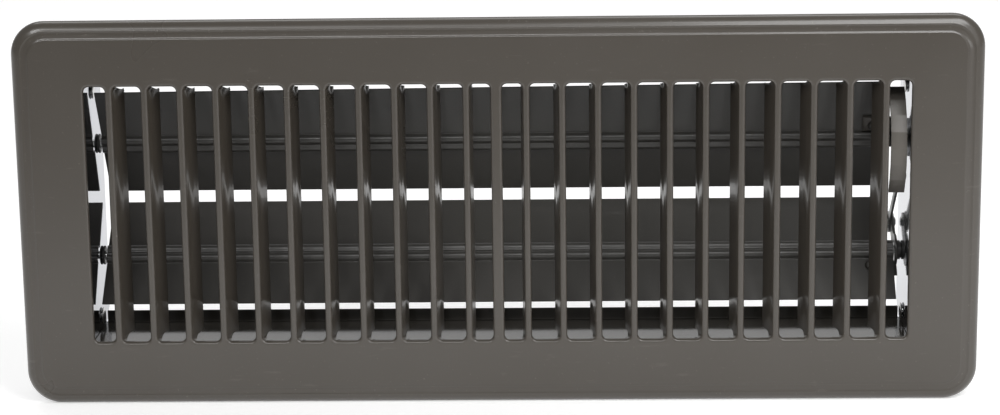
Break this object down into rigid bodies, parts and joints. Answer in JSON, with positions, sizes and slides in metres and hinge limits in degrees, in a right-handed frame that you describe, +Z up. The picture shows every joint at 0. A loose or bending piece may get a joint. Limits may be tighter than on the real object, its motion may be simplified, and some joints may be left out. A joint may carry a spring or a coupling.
{
  "type": "louvred air grille",
  "caption": "Stamped-steel louvred floor register: a rimmed face with fixed fins over a shallow duct box that holds two linked damper blades worked by a thumb wheel.",
  "frame": {"origin": "middle of the plane that the face's rim rests on, centred on the duct opening", "axes": "+X along the face to its right-hand end, +Y back into the duct, +Z up the face towards its upper long edge; the face looks along -Y"},
  "size_m": [0.343, 0.0441, 0.1396],
  "materials": {
    "face_paint": "brown-grey gloss enamel on pressed steel",
    "box_paint": "the same enamel, thinner, on the duct box",
    "blade_paint": "the same enamel on the damper blades",
    "wheel_paint": "the same enamel, worn at the facets",
    "end_steel": "bright, smooth zinc-plated steel that mirrors what is beside it",
    "zinc": "bright zinc plate",
    "bush_plastic": "dark nylon"
  },
  "bodies": {
    "housing": {"face_plate": "face_paint", "rail_upper": "box_paint", "rail_lower": "box_paint", "end_plate_left": "end_steel", "end_plate_right": "end_steel", "corner_rivet_upper_left": "zinc", "corner_rivet_upper_right": "zinc", "corner_rivet_lower_left": "zinc", "corner_rivet_lower_right": "zinc", "pivot_bush_upper_left": "bush_plastic", "pivot_bush_upper_right": "bush_plastic", "pivot_bush_lower_left": "bush_plastic", "pivot_bush_lower_right": "bush_plastic"},
    "upper_damper": {"damper_blade_upper": "blade_paint", "foot_rivet_upper": "zinc", "pivot_pin_upper_left": "zinc", "pivot_pin_upper_right": "zinc", "spring_washer_upper": "zinc", "thumb_wheel": "wheel_paint", "link_pin_upper": "zinc"},
    "lower_damper": {"damper_blade_lower": "blade_paint", "foot_rivet_lower": "zinc", "pivot_pin_lower_left": "zinc", "pivot_pin_lower_right": "zinc", "spring_washer_lower": "zinc", "crank_arm": "blade_paint", "link_pin_lower": "zinc"},
    "link": {"link_rod": "blade_paint"}
  },
  "joints": [
    {"name": "upper_blade_turn", "type": "hinge", "parent": "housing", "child": "upper_damper", "pos_m": [0, 0.0245, 0.021], "axis": [1, 0, 0], "range_deg": [-23, 7]},
    {"name": "lower_blade_turn", "type": "hinge", "parent": "housing", "child": "lower_damper", "pos_m": [0, 0.0245, -0.021], "axis": [1, 0, 0], "range_deg": [-11, 36]},
    {"name": "link_turn", "type": "hinge", "parent": "upper_damper", "child": "link", "pos_m": [0, 0.00732, 0.01041], "axis": [1, 0, 0], "range_deg": [-5, 16]}
  ],
  "couplings": [
    {"joint": "lower_blade_turn", "follows": "upper_blade_turn", "ratio": -1.5556},
    {"joint": "link_turn", "follows": "upper_blade_turn", "ratio": -0.688}
  ]
}
